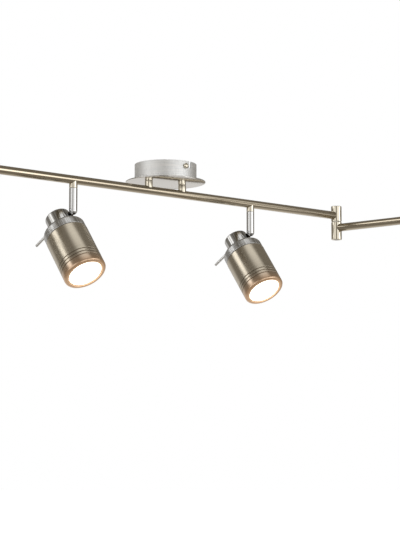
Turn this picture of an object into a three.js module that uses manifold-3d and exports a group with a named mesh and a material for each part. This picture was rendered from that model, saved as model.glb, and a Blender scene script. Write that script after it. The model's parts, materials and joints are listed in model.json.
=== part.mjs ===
// A ceiling spot bar. A round canopy holds a straight tube on two short posts, two spotlights hang
// below the tube, and a hinged arm at each end carries one more spotlight.
//
// Millimetres, +Z up. The origin is the centre of the face that lies against the ceiling, and +X
// runs along the centre tube. A spotlight is modelled hanging straight down from its tilt pivot,
// with its beam along -Z, and is then tilted and panned by its groups.

import * as THREE from 'three';
import { mergeVertices } from 'three/addons/utils/BufferGeometryUtils.js';
import Module from 'manifold-3d';

// ---------------------------------------------------------------- driving dimensions

const GAP = 0.3;                  // clearance between neighbouring pieces
const FINE = 32;                  // sides of the large rounds
const ROUND = 16;                 // sides of the tubes, stems and lamp bodies
const COARSE = 8;                 // sides of screws and bores

const PAN_RADIUS = 46.5;          // canopy pan
const PAN_HEIGHT = 25.6;
const SHEET = 1.2;                // wall of the pressed pan
const PLATE_RADIUS = 60;          // cover plate under the pan
const PLATE_BOTTOM = -27.6;

const STRAP_WIDTH = 18;           // ceiling bracket
const STRAP_THICK = 1.5;
const EAR_Y = 43.9;               // outer face of the bracket's bent ears
const EAR_DEPTH = 14;
const SLOT_Y = 26;                // middle of each ceiling screw's slot
const SLOT_LENGTH = 14;
const SLOT_WIDTH = 5;
const SIDE_SCREW_Z = -7.8;        // screws that lock the pan to the ears
const SIDE_SCREW_RADIUS = 1.6;
const BAYONET_WIDTH = 4.2;        // slots in the pan's wall
const BAYONET_ENTRY_TURN = 11.4;  // degrees from the locked screw to the slot's open end

const TUBE_RADIUS = 6.35;         // centre tube and arm tubes
const TUBE_BORE = 5.35;
const CENTRE_TUBE_Z = -42;
const ARM_TUBE_Z = -62;

const POST_X = 32.5;              // posts between plate and centre tube
const POST_RADIUS = 6;
const STUD_RADIUS = 4;
const STUD_TOP = -17;
const WIRE_BORE = 2.4;
const WIRE_RADIUS = 1.1;

const HINGE_X = 362;              // hinges at the ends of the centre tube
const BARREL_RADIUS = 8.5;
const BARREL_TOP = -26.5;
const BARREL_BOTTOM = -81.6;
const SEAM_Z = -52.3;
const WASHER_THICK = 0.8;
const BOLT_RADIUS = 3;
const TUBE_SETBACK = 4;           // hinge axis to the near end of a tube

const ARM_LENGTH = 330;           // hinge axis to the end of an arm tube
const ARM_SPOT_X = 300;           // hinge axis to an arm's spotlight
const ARM_AZIMUTH = -81.3;        // degrees, the right-hand arm as hung; the left one is its mirror

const SPOT_X = 172;               // spotlights below the centre tube
const STEM_RADIUS = 6;
const COLLAR_BOTTOM = -12;        // the next heights are below a tube's axis
const NIPPLE_BOTTOM = -24;
const PIVOT_DROP = 45;

const TONGUE_THICK = 4;           // tilt knuckle
const TONGUE_HALF = 4;
const PIVOT_SCREW_RADIUS = 1.7;

const HEAD_SIDE = 11;             // lamp axis to pivot, along the pivot's axis
const HEAD_BACK = 23;             // lamp axis to pivot, square to both axes
const HEAD_UP = 8;                // rear face to pivot, along the lamp axis
const CAP_RADIUS = 18.5;          // narrow rear part of a spotlight
const CAP_WALL = 2;
const CAP_STEP = 25;              // distances from the rear face, along the lamp axis
const RING_RADIUS = 31.2;
const RING_FRONT = 39.2;
const SHADE_REAR = 39.5;
const SHADE_FRONT = 111.5;
const SHADE_RADIUS = 31.5;
const SHADE_WALL = 1.5;
const SHADE_MOUTH = 25.3;
const LAMP_RADIUS = 24.9;
const LAMP_REAR = 57.3;
const LAMP_FACE = 110.3;
const PIN_X = 5;
const PIN_RADIUS = 2;
const LEVER_RADIUS = 2;
const LEVER_TIP = 54;             // lamp axis to the lever's tip
const LEVER_TURN = 100;           // degrees, the lever's side of the lamp, away from the pivot
const LEVER_DEPTH = 10;           // rear face to the lever, along the lamp axis

const SPOTS = [
  { name: 'inner_left', pan: 1.5, tilt: 37 },
  { name: 'inner_right', pan: 0, tilt: 37 },
  { name: 'outer_left', pan: 180, tilt: 37 },
  { name: 'outer_right', pan: 180, tilt: 37 },
];

// ---------------------------------------------------------------- materials

function metal(color, roughness) {
  return new THREE.MeshStandardMaterial({ color, roughness, metalness: 1 });
}

function plain(color, roughness) {
  return new THREE.MeshStandardMaterial({ color, roughness, metalness: 0 });
}

const satinNickel = metal(0xc9cbc8, 0.38);
const polishedNickel = metal(0xd8d0bd, 0.12);
const chrome = metal(0xe6e8e8, 0.06);
const brushedBrass = metal(0x9a8b66, 0.3);
const darkBronze = metal(0x5a4a35, 0.4);
const zincSteel = metal(0xb4b6b6, 0.45);
const ceramic = plain(0xf1ede4, 0.5);
const terminalPlastic = plain(0xf4f4f0, 0.55);
const wireSheath = plain(0xdedbd2, 0.6);
const nylon = plain(0xe9e6dc, 0.45);
const lampGlass = new THREE.MeshStandardMaterial({
  color: 0xfff7e8,
  emissive: 0xfff1d8,
  roughness: 0.25,
  metalness: 0,
});

// ---------------------------------------------------------------- solids

const wasm = await Module();
wasm.setup();

function radians(degrees) {
  return THREE.MathUtils.degToRad(degrees);
}

function toSolid(geometry) {
  const bare = geometry.clone();
  bare.deleteAttribute('normal');
  bare.deleteAttribute('uv');
  const merged = mergeVertices(bare, 1e-4);
  const corners = [];
  for (let i = 0; i < merged.index.count; i += 3) {
    const [a, b, c] = [0, 1, 2].map((k) => merged.index.getX(i + k));
    if (a !== b && b !== c && c !== a) corners.push(a, b, c);
  }
  return new wasm.Manifold(new wasm.Mesh({
    numProp: 3,
    vertProperties: Float32Array.from(merged.attributes.position.array),
    triVerts: Uint32Array.from(corners),
  }));
}

function toGeometry(solid) {
  const { vertProperties, triVerts } = solid.getMesh();
  const geometry = new THREE.BufferGeometry();
  geometry.setAttribute('position', new THREE.BufferAttribute(new Float32Array(vertProperties), 3));
  geometry.setIndex(new THREE.BufferAttribute(new Uint32Array(triVerts), 1));
  geometry.computeVertexNormals();
  return geometry;
}

function join(...pieces) {
  return toGeometry(pieces.map(toSolid).reduce((whole, piece) => whole.add(piece)));
}

function cut(body, ...tools) {
  return toGeometry(tools.map(toSolid).reduce((rest, tool) => rest.subtract(tool), toSolid(body)));
}

// A box from its lowest to its highest corner.
function block([x0, y0, z0], [x1, y1, z1]) {
  const box = new THREE.BoxGeometry(x1 - x0, y1 - y0, z1 - z0);
  return box.translate((x0 + x1) / 2, (y0 + y1) / 2, (z0 + z1) / 2);
}

// A cylinder along Z, X or Y, from one coordinate to the other on that axis.
function rodZ(radius, z0, z1, sides = COARSE) {
  const rod = new THREE.CylinderGeometry(radius, radius, z1 - z0, sides);
  return rod.rotateX(Math.PI / 2).translate(0, 0, (z0 + z1) / 2);
}

function rodX(radius, x0, x1, sides = COARSE) {
  return rodZ(radius, x0, x1, sides).rotateY(Math.PI / 2);
}

function rodY(radius, y0, y1, sides = COARSE) {
  return rodZ(radius, -y1, -y0, sides).rotateX(Math.PI / 2);
}

// A solid of revolution about Z from a profile of [radius, z] points, with the solid on the left
// of the profile's direction of travel.
function turned(profile, sides = ROUND) {
  const points = profile.map(([radius, z]) => new THREE.Vector2(radius, z));
  return new THREE.LatheGeometry(points, sides).rotateX(Math.PI / 2);
}

// Points of an arc in a profile, both ends included, with angles in degrees.
function arc(radius, z, bend, from, to, steps) {
  return Array.from({ length: steps + 1 }, (_, i) => {
    const angle = radians(from + ((to - from) * i) / steps);
    return [radius + bend * Math.cos(angle), z + bend * Math.sin(angle)];
  });
}

function add(parent, name, geometry, material) {
  const mesh = new THREE.Mesh(geometry, material);
  mesh.name = name;
  parent.add(mesh);
}

// ---------------------------------------------------------------- canopy

// The cutting tools for one round-ended slot through the strap, long way along Y.
function screwSlot(y) {
  const radius = SLOT_WIDTH / 2;
  const reach = SLOT_LENGTH / 2 - radius;
  const ends = [-reach, reach].map((offset) => rodZ(radius, -4, 2).translate(0, y + offset, 0));
  return [block([-radius, y - reach, -4], [radius, y + reach, 2]), ...ends];
}

function ceilingBracket() {
  const half = STRAP_WIDTH / 2;
  const tools = [];
  const strap = block([-half, -EAR_Y, -STRAP_THICK], [half, EAR_Y, 0]);
  const ears = [-1, 1].map((side) => {
    const near = side * (EAR_Y - STRAP_THICK);
    const far = side * EAR_Y;
    tools.push(...screwSlot(side * SLOT_Y));
    tools.push(rodY(SIDE_SCREW_RADIUS + GAP, far - 4, far + 4).translate(0, 0, SIDE_SCREW_Z));
    return block([-half, Math.min(near, far), -EAR_DEPTH], [half, Math.max(near, far), 0]);
  });
  return cut(join(strap, ...ears), ...tools);
}

// The open-topped pan, with an L-shaped slot for each side screw.
function canopyPan() {
  const pan = turned([
    [0, -PAN_HEIGHT],
    ...arc(PAN_RADIUS - 1, -PAN_HEIGHT + 1, 1, -90, 0, 2),
    [PAN_RADIUS, 0],
    [PAN_RADIUS - SHEET, 0],
    [PAN_RADIUS - SHEET, -PAN_HEIGHT + SHEET],
    [0, -PAN_HEIGHT + SHEET],
  ], FINE);
  const half = BAYONET_WIDTH / 2;
  const legLength = PAN_RADIUS * radians(BAYONET_ENTRY_TURN);
  const slots = [-90, 90].flatMap((azimuth) => {
    const locked = rodX(half, PAN_RADIUS - 4, PAN_RADIUS + 2).translate(0, 0, SIDE_SCREW_Z);
    const leg = block([PAN_RADIUS - 4, -legLength / 2, SIDE_SCREW_Z - half],
      [PAN_RADIUS + 2, legLength / 2, SIDE_SCREW_Z + half]);
    const entry = block([PAN_RADIUS - 4, -half, SIDE_SCREW_Z - half], [PAN_RADIUS + 2, half, 1]);
    locked.rotateZ(radians(azimuth));
    leg.rotateZ(radians(azimuth + BAYONET_ENTRY_TURN / 2));
    entry.rotateZ(radians(azimuth + BAYONET_ENTRY_TURN));
    return [locked, leg, entry];
  });
  return cut(pan, ...slots, ...studHoles());
}

function studHoles() {
  return [-1, 1].map((side) => {
    return rodZ(STUD_RADIUS + GAP, PLATE_BOTTOM - 2, STUD_TOP).translate(side * POST_X, 0, 0);
  });
}

function canopyPlate() {
  const top = -PAN_HEIGHT - GAP;
  const plate = turned([
    [0, PLATE_BOTTOM],
    [PLATE_RADIUS - 0.5, PLATE_BOTTOM],
    [PLATE_RADIUS, PLATE_BOTTOM + 0.5],
    [PLATE_RADIUS, top - 0.5],
    [PLATE_RADIUS - 0.5, top],
    [0, top],
  ], FINE);
  return cut(plate, ...studHoles());
}

// One domed side screw, pointing out along +X from the canopy's axis.
function sideScrew() {
  const seat = PAN_RADIUS + GAP;
  const profile = [
    [0, 42],
    [SIDE_SCREW_RADIUS, 42],
    [SIDE_SCREW_RADIUS, seat],
    [4, seat],
    [4, seat + 1.6],
    ...arc(0, seat - 0.42, 4.48, 26.8, 90, 3).slice(1, -1),
    [0, seat + 4.06],
  ];
  return turned(profile, COARSE).rotateY(Math.PI / 2).translate(0, 0, SIDE_SCREW_Z);
}

function postNut() {
  const bottom = -PAN_HEIGHT + SHEET + GAP;
  const nut = rodZ(7.5, bottom, bottom + 4, 6);
  return cut(nut, rodZ(STUD_RADIUS + GAP, bottom - 1, bottom + 5));
}

const BLOCK_TOP = -12.5;
const BLOCK_BOTTOM = -PAN_HEIGHT + SHEET + GAP;
const POLES = [-7, 0, 7];
const POLE_Z = -20;
const POLE_SCREW_Y = 4.5;

function terminalBlock() {
  const body = block([-12, -8.5, BLOCK_BOTTOM], [12, 8.5, BLOCK_TOP]);
  const tools = POLES.flatMap((x) => [
    rodY(2, -10, 10).translate(x, 0, POLE_Z),
    ...[-1, 1].map((side) => rodZ(1.9, POLE_Z, BLOCK_TOP + 1).translate(x, side * POLE_SCREW_Y, 0)),
  ]);
  return cut(body, ...tools);
}

// A hollow post: a stud through the plate and pan, a plain shank saddled over the tube, and a
// spigot into the tube's top.
function post() {
  const shank = cut(
    rodZ(POST_RADIUS, CENTRE_TUBE_Z + 4, PLATE_BOTTOM - GAP, ROUND),
    rodX(TUBE_RADIUS + GAP, -20, 20, ROUND).translate(0, 0, CENTRE_TUBE_Z),
  );
  const stud = rodZ(STUD_RADIUS - 0.1, PLATE_BOTTOM - 2, STUD_TOP);
  const spigot = rodZ(STUD_RADIUS - 0.3, CENTRE_TUBE_Z + 3.5, PLATE_BOTTOM - 2);
  const bore = rodZ(WIRE_BORE, CENTRE_TUBE_Z, STUD_TOP + 1);
  return cut(join(shank, stud, spigot), bore);
}

// One looped-through wire: along the centre tube, up one hollow post, past the terminal block, and
// down the other post.
function supplyWire() {
  const half = [
    [0, 11, POLE_Z],
    [8, 12, -19],
    [15, 15, -16],
    [23, 13, -11],
    [30, 5, -9],
    [POST_X, 0, -12.5],
    [POST_X, 0, -20],
    [POST_X, 0, -36],
    [POST_X + 2, 0, -40.4],
    [POST_X + 6, 0, CENTRE_TUBE_Z],
    [POST_X + 12, 0, CENTRE_TUBE_Z],
  ];
  const mirrored = half.slice(1).reverse().map(([x, y, z]) => [-x, y, z]);
  const points = [...mirrored, ...half].map((point) => new THREE.Vector3(...point));
  const route = new THREE.CatmullRomCurve3(points);
  const section = new THREE.Shape().absarc(0, 0, WIRE_RADIUS, 0, 2 * Math.PI);
  const loop = new THREE.ExtrudeGeometry(section, { steps: 32, curveSegments: 6, extrudePath: route });
  const run = rodX(WIRE_RADIUS, POST_X + 10, HINGE_X - 12, 6).translate(0, 0, CENTRE_TUBE_Z);
  return join(loop, run, run.clone().rotateZ(Math.PI));
}

// ---------------------------------------------------------------- tubes and hinges

function centreTube() {
  const end = HINGE_X - TUBE_SETBACK;
  const bore = rodX(TUBE_BORE, -end - 1, end + 1, ROUND);
  const holes = [-1, 1].flatMap((side) => [
    rodZ(STUD_RADIUS, 0, 10).translate(side * POST_X, 0, 0),
    rodZ(STUD_RADIUS, -10, 0).translate(side * SPOT_X, 0, 0),
  ]);
  return cut(rodX(TUBE_RADIUS, -end, end, ROUND), bore, ...holes).translate(0, 0, CENTRE_TUBE_Z);
}

// The upper half of a hinge, with a socket on its -X side for the centre tube.
function upperBarrel() {
  const bottom = SEAM_Z + WASHER_THICK / 2 + GAP;
  const body = turned([
    [0, bottom],
    [BARREL_RADIUS - 0.4, bottom],
    [BARREL_RADIUS, bottom + 0.4],
    ...arc(BARREL_RADIUS - 2, BARREL_TOP - 2, 2, 0, 90, 2),
    [0, BARREL_TOP],
  ]);
  const socket = rodX(TUBE_RADIUS + GAP, -12, -TUBE_SETBACK + GAP, ROUND);
  socket.translate(0, 0, CENTRE_TUBE_Z);
  return cut(body, socket, rodZ(BOLT_RADIUS + GAP, bottom - 1, BARREL_TOP - 5));
}

// The lower half of a hinge, with a socket on its +X side for the arm's tube.
function lowerBarrel() {
  const top = SEAM_Z - WASHER_THICK / 2 - GAP;
  const body = turned([
    [0, BARREL_BOTTOM],
    ...arc(BARREL_RADIUS - 2, BARREL_BOTTOM + 2, 2, -90, 0, 2),
    [BARREL_RADIUS, top - 0.4],
    [BARREL_RADIUS - 0.4, top],
    [0, top],
  ]);
  const socket = rodX(TUBE_RADIUS + GAP, TUBE_SETBACK - GAP, 12, ROUND).translate(0, 0, ARM_TUBE_Z);
  const shankHole = rodZ(BOLT_RADIUS + GAP, BARREL_BOTTOM + 5, top + 1);
  const headHole = rodZ(5, BARREL_BOTTOM - 1, BARREL_BOTTOM + 5.3, ROUND);
  return cut(body, socket, shankHole, headHole);
}

function hingeWasher() {
  const half = WASHER_THICK / 2;
  const washer = rodZ(BARREL_RADIUS - 0.9, SEAM_Z - half, SEAM_Z + half, ROUND);
  return cut(washer, rodZ(BOLT_RADIUS + GAP, SEAM_Z - 2, SEAM_Z + 2));
}

function hingeBolt() {
  const headTop = BARREL_BOTTOM + 5;
  const bolt = turned([
    [0, headTop - 4.4],
    [4.2, headTop - 4.4],
    [4.6, headTop - 4],
    [4.6, headTop],
    [BOLT_RADIUS, headTop],
    [BOLT_RADIUS, BARREL_TOP - 6],
    [0, BARREL_TOP - 6],
  ], COARSE);
  return cut(bolt, rodZ(2.4, headTop - 6, headTop - 1.6, 6));
}

function armTube() {
  const tube = rodX(TUBE_RADIUS, TUBE_SETBACK, ARM_LENGTH, ROUND);
  const bore = rodX(TUBE_BORE, 0, ARM_LENGTH + 1, ROUND);
  const hole = rodZ(STUD_RADIUS, -10, 0).translate(ARM_SPOT_X, 0, 0);
  return cut(tube, bore, hole).translate(0, 0, ARM_TUBE_Z);
}

function endCap() {
  const face = ARM_LENGTH + GAP;
  const cap = turned([
    [0, ARM_LENGTH - 7],
    [TUBE_BORE - GAP, ARM_LENGTH - 7],
    [TUBE_BORE - GAP, face],
    [TUBE_RADIUS, face],
    [TUBE_RADIUS, face + 1],
    ...arc(TUBE_RADIUS - 1.5, face + 1, 1.5, 0, 90, 2).slice(1),
    [0, face + 2.5],
  ]);
  return cap.rotateY(Math.PI / 2).translate(0, 0, ARM_TUBE_Z);
}

// ---------------------------------------------------------------- spotlight suspension

// The collar under a tube. Its hollow nipple reaches up into the tube and down into the stem.
function stemCollar() {
  const collar = cut(
    rodZ(STEM_RADIUS, COLLAR_BOTTOM, -2, ROUND),
    rodX(TUBE_RADIUS + GAP, -20, 20, ROUND),
  );
  const nipple = rodZ(STUD_RADIUS - 0.4, NIPPLE_BOTTOM, -3.8);
  return cut(join(collar, nipple), rodZ(2.2, NIPPLE_BOTTOM - 1, 0));
}

// The stem turns on the nipple. Its lower end is a fork, open to the rear and below, for the tongue.
function stem() {
  const body = turned([
    ...arc(0, -PIVOT_DROP, STEM_RADIUS, -90, 0, 4),
    [STEM_RADIUS, COLLAR_BOTTOM - GAP],
    [0, COLLAR_BOTTOM - GAP],
  ]);
  const half = TONGUE_THICK / 2 + GAP;
  const reach = TONGUE_HALF + 0.4;
  const fork = join(
    rodX(reach, -half, half, ROUND),
    block([-half, 0, -10], [half, 10, reach]),
    block([-half, -reach, -10], [half, 10, 0]),
  ).translate(0, 0, -PIVOT_DROP);
  const screwHole = rodX(PIVOT_SCREW_RADIUS + GAP, -8, 8).translate(0, 0, -PIVOT_DROP);
  const headHole = rodX(3, -8, -4.2).translate(0, 0, -PIVOT_DROP);
  const nippleHole = rodZ(STUD_RADIUS, NIPPLE_BOTTOM - 1, 0);
  const wireHole = rodZ(2, -PIVOT_DROP + 10, 0);
  return cut(body, fork, screwHole, headHole, nippleHole, wireHole);
}

function pivotScrew() {
  return turned([
    [0, -6],
    [2, -6],
    [2.6, -5.4],
    [2.6, -4.5],
    [PIVOT_SCREW_RADIUS, -4.5],
    [PIVOT_SCREW_RADIUS, 5.2],
    [0, 5.2],
  ], COARSE).rotateY(Math.PI / 2).translate(0, 0, -PIVOT_DROP);
}

// ---------------------------------------------------------------- spotlight

// Places a piece built along the lamp axis, rear face at 0 and beam along +Z, beside the pivot.
function ontoLampAxis(geometry) {
  return geometry.rotateX(Math.PI).translate(-HEAD_SIDE, HEAD_BACK, HEAD_UP);
}

function leverStation(geometry) {
  geometry.rotateY(Math.PI / 2).rotateZ(radians(LEVER_TURN));
  return geometry.translate(-HEAD_SIDE, HEAD_BACK, HEAD_UP - LEVER_DEPTH);
}

function rearCap() {
  const lip = RING_FRONT + 5.8;
  const lipRadius = SHADE_RADIUS - SHADE_WALL - GAP;
  const cap = ontoLampAxis(turned([
    [0, 0],
    ...arc(CAP_RADIUS - 2, 2, 2, -90, 0, 2),
    [CAP_RADIUS, CAP_STEP],
    ...arc(RING_RADIUS - 3.5, CAP_STEP + 3.5, 3.5, -90, 0, 2),
    [RING_RADIUS, RING_FRONT],
    [lipRadius, RING_FRONT],
    [lipRadius, lip],
    [lipRadius - CAP_WALL, lip],
    [lipRadius - CAP_WALL, CAP_STEP + CAP_WALL],
    [CAP_RADIUS - CAP_WALL, CAP_STEP + CAP_WALL],
    [CAP_RADIUS - CAP_WALL, CAP_WALL],
    [0, CAP_WALL],
  ]));
  const mortiseX = TONGUE_THICK / 2 + GAP;
  const mortiseZ = TONGUE_HALF + GAP;
  const mortise = block([-mortiseX, 4, -mortiseZ], [mortiseX, HEAD_BACK - 9, mortiseZ]);
  return cut(cap, mortise, leverStation(rodZ(1.8, 12, 22)));
}

// The tongue's eye turns in the stem's fork, and its tail is held in the rear cap's wall.
function tongue() {
  const half = TONGUE_THICK / 2;
  const eye = rodX(TONGUE_HALF, -half, half, ROUND);
  const blade = block([-half, 0, -TONGUE_HALF], [half, HEAD_BACK - 11, TONGUE_HALF]);
  return cut(join(eye, blade), rodX(PIVOT_SCREW_RADIUS + GAP, -5, 5));
}

function leverRod() {
  return leverStation(turned([
    [0, 14],
    [1.5, 14],
    [1.5, CAP_RADIUS + GAP],
    [LEVER_RADIUS, CAP_RADIUS + GAP],
    ...arc(0, LEVER_TIP - LEVER_RADIUS, LEVER_RADIUS, 0, 90, 2),
  ], COARSE));
}

function shade() {
  const inner = SHADE_RADIUS - SHADE_WALL;
  return ontoLampAxis(turned([
    [inner, SHADE_REAR],
    [SHADE_RADIUS - 0.6, SHADE_REAR],
    [SHADE_RADIUS, SHADE_REAR + 0.6],
    ...arc(SHADE_RADIUS - 3.5, SHADE_FRONT - 3.5, 3.5, 0, 90, 2),
    [SHADE_MOUTH, SHADE_FRONT],
    [SHADE_MOUTH, SHADE_FRONT - SHADE_WALL],
    [inner - 2, SHADE_FRONT - SHADE_WALL],
    [inner, SHADE_FRONT - SHADE_WALL - 2],
    [inner, SHADE_REAR],
  ]));
}

function lampholder() {
  const flange = CAP_STEP + CAP_WALL + GAP;
  const body = turned([
    [0, flange],
    [26, flange],
    [26, flange + 1.5],
    [13.5, flange + 1.5],
    [13.5, LAMP_REAR - GAP],
    [0, LAMP_REAR - GAP],
  ]);
  const holes = [-PIN_X, PIN_X].map((x) => {
    return rodZ(PIN_RADIUS + GAP, LAMP_REAR - 8, LAMP_REAR + 1).translate(x, 0, 0);
  });
  return ontoLampAxis(cut(body, ...holes));
}

function lamp() {
  const bulb = turned([
    [0, LAMP_REAR],
    [12.5, LAMP_REAR],
    [13.5, LAMP_REAR + 10],
    [19, LAMP_REAR + 22],
    [LAMP_RADIUS, LAMP_REAR + 44],
    [LAMP_RADIUS, LAMP_FACE - 0.6],
    [LAMP_RADIUS - 0.9, LAMP_FACE],
    [0, LAMP_FACE],
  ]);
  const pins = [-PIN_X, PIN_X].map((x) => rodZ(PIN_RADIUS, LAMP_REAR - 7, LAMP_REAR + 1, 8).translate(x, 0, 0));
  return ontoLampAxis(join(bulb, ...pins));
}

// ---------------------------------------------------------------- assembly

// A spotlight with its stem, at a point on a tube's axis.
function addSpot(parent, x, tubeZ, { name, pan, tilt }) {
  const place = new THREE.Group();
  place.position.set(x, 0, tubeZ);
  parent.add(place);
  add(place, `stem_collar_${name}`, stemCollar(), polishedNickel);

  const panning = new THREE.Group();
  panning.rotation.z = radians(pan);
  place.add(panning);
  add(panning, `stem_${name}`, stem(), chrome);
  add(panning, `pivot_screw_${name}`, pivotScrew(), zincSteel);

  const tilting = new THREE.Group();
  tilting.position.z = -PIVOT_DROP;
  tilting.rotation.x = -radians(tilt);
  panning.add(tilting);
  add(tilting, `tongue_${name}`, tongue(), darkBronze);
  add(tilting, `rear_cap_${name}`, rearCap(), chrome);
  add(tilting, `aiming_lever_${name}`, leverRod(), chrome);
  add(tilting, `shade_${name}`, shade(), brushedBrass);
  add(tilting, `lampholder_${name}`, lampholder(), ceramic);
  add(tilting, `lamp_${name}`, lamp(), lampGlass);
}

// An arm along +X from its hinge axis, turned to its azimuth.
function addArm(parent, side, x, azimuth, spot) {
  const arm = new THREE.Group();
  arm.position.x = x;
  arm.rotation.z = radians(azimuth);
  parent.add(arm);
  add(arm, `hinge_lower_${side}`, lowerBarrel(), polishedNickel);
  add(arm, `hinge_bolt_${side}`, hingeBolt(), zincSteel);
  add(arm, `hinge_washer_${side}`, hingeWasher(), nylon);
  add(arm, `arm_tube_${side}`, armTube(), brushedBrass);
  add(arm, `arm_end_cap_${side}`, endCap(), polishedNickel);
  addSpot(arm, ARM_SPOT_X, ARM_TUBE_Z, spot);
}

const fixture = new THREE.Group();
const [innerLeft, innerRight, outerLeft, outerRight] = SPOTS;

add(fixture, 'ceiling_bracket', ceilingBracket(), zincSteel);
add(fixture, 'canopy_pan', canopyPan(), satinNickel);
add(fixture, 'canopy_plate', canopyPlate(), satinNickel);
add(fixture, 'canopy_screw_front', sideScrew().rotateZ(-Math.PI / 2), polishedNickel);
add(fixture, 'canopy_screw_back', sideScrew().rotateZ(Math.PI / 2), polishedNickel);
add(fixture, 'terminal_block', terminalBlock(), terminalPlastic);
add(fixture, 'supply_wire', supplyWire(), wireSheath);
for (const [side, x] of [['left', -POST_X], ['right', POST_X]]) {
  add(fixture, `post_${side}`, post().translate(x, 0, 0), polishedNickel);
  add(fixture, `post_nut_${side}`, postNut().translate(x, 0, 0), zincSteel);
}
add(fixture, 'centre_tube', centreTube(), brushedBrass);
add(fixture, 'hinge_upper_left', upperBarrel().rotateZ(Math.PI).translate(-HINGE_X, 0, 0), polishedNickel);
add(fixture, 'hinge_upper_right', upperBarrel().translate(HINGE_X, 0, 0), polishedNickel);

addSpot(fixture, -SPOT_X, CENTRE_TUBE_Z, innerLeft);
addSpot(fixture, SPOT_X, CENTRE_TUBE_Z, innerRight);
addArm(fixture, 'left', -HINGE_X, 180 + ARM_AZIMUTH, outerLeft);
addArm(fixture, 'right', HINGE_X, ARM_AZIMUTH, outerRight);

export default fixture;
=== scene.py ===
"""A ceiling spot bar: the finished surfaces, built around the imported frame.

Shapes are written in millimetres and scaled to metres as they become objects. +Z is up, the origin
is the centre of the face against the ceiling, and +X runs along the centre tube. Every piece is
drawn in a frame of its own (a tube's axis, a hinge's axis, a spotlight's pivot), and a matrix made
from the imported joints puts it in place.
"""

import json
import math

import bmesh
import bpy
from mathutils import Matrix, Vector


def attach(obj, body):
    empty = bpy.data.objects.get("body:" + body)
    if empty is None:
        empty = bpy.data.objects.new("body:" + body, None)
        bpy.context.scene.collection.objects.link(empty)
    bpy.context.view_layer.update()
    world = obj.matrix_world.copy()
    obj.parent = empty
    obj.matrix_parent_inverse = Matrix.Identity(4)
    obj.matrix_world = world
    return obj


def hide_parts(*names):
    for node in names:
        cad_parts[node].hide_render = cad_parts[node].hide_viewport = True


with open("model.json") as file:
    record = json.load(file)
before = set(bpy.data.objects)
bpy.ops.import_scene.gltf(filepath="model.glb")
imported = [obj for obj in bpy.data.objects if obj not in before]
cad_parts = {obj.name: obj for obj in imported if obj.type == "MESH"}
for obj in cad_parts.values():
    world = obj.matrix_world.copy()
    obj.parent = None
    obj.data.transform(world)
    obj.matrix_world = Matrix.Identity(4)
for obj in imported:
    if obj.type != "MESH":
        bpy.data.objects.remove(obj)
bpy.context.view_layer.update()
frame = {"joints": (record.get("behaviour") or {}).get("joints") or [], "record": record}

RECORD = frame["record"]
JOINTS = {joint["name"]: joint for joint in frame["joints"]}
BODY_OF = {n: body for body, nodes in RECORD["behaviour"]["bodies"].items() for n in nodes}
SLOT_OF = {part["node"]: part["material_slot"] for part in RECORD["subparts"]}

MM = 0.001
SIDES = 96                    # facets round a large turned piece
SMALL_SIDES = 48              # facets round a screw, stem or tube
SHARP = math.radians(33)      # a fold sharper than this is an edge

# ---------------------------------------------------------------- camera, light and floor

CAMERA_PLACE = (-1.683, -2.036, -0.475)
CAMERA_YAW = 40.7             # degrees from +Y towards +X
CAMERA_PITCH = 6.93           # degrees above the horizon
CAMERA_LENS = 120.3

FLOOR_Z = -0.62
FLOOR_RADIUS = 30.0

OVERHEAD_PLACE = (-0.6, -0.8, 2.6)
OVERHEAD_AIM = (0.6, 0.8, -3.2)
OVERHEAD_SIZE = 2.6
OVERHEAD_WATTS = 60

# Each bright area of the studio: azimuth and elevation of its middle, half of its width and
# height, the softness of its edge (all in degrees), and its strength.
BRIGHT_AREAS = (
    (184, 4, 27, 20, 4, 1.00),      # softbox left of the camera
    (147, 24, 13, 10, 3, 2.30),     # strip lamp at the far left
    (153, 2, 5, 3, 2, 2.00),        # small low lamp at the far left
    (-92, 6, 31, 20, 5, 1.15),      # softbox right of the camera
    (-60, 4, 12, 13, 3, 2.00),      # strip lamp at the far right
    (-40, 22, 9, 9, 3, 1.00),       # its fainter neighbour, upper half
    (-40, -9, 9, 12, 3, 1.00),      # and lower half
    (184, -9, 22, 5, 3, 1.10),      # low strip left of the camera
    (-92, -9, 24, 5, 3, 0.90),      # low strip right of the camera
    (62, -18, 42, 23, 8, 0.58),     # pale wall behind the object
    (49, -52, 66, 20, 8, 0.35),     # pale ground behind the object
    (-108, 76, 58, 15, 12, 1.20),   # skylight
)
ROOM_ABOVE = (0.25, 0.23, 0.20)
ROOM_BELOW = (0.30, 0.275, 0.245)
BACKDROP = (1.0, 1.0, 1.0)


def add_camera():
    data = bpy.data.cameras.new("camera")
    data.lens = CAMERA_LENS
    data.sensor_width = 36
    data.clip_end = 200
    camera = bpy.data.objects.new("camera", data)
    camera.location = CAMERA_PLACE
    camera.rotation_euler = (math.radians(90 + CAMERA_PITCH), 0, math.radians(-CAMERA_YAW))
    bpy.context.scene.collection.objects.link(camera)
    bpy.context.scene.camera = camera


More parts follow.
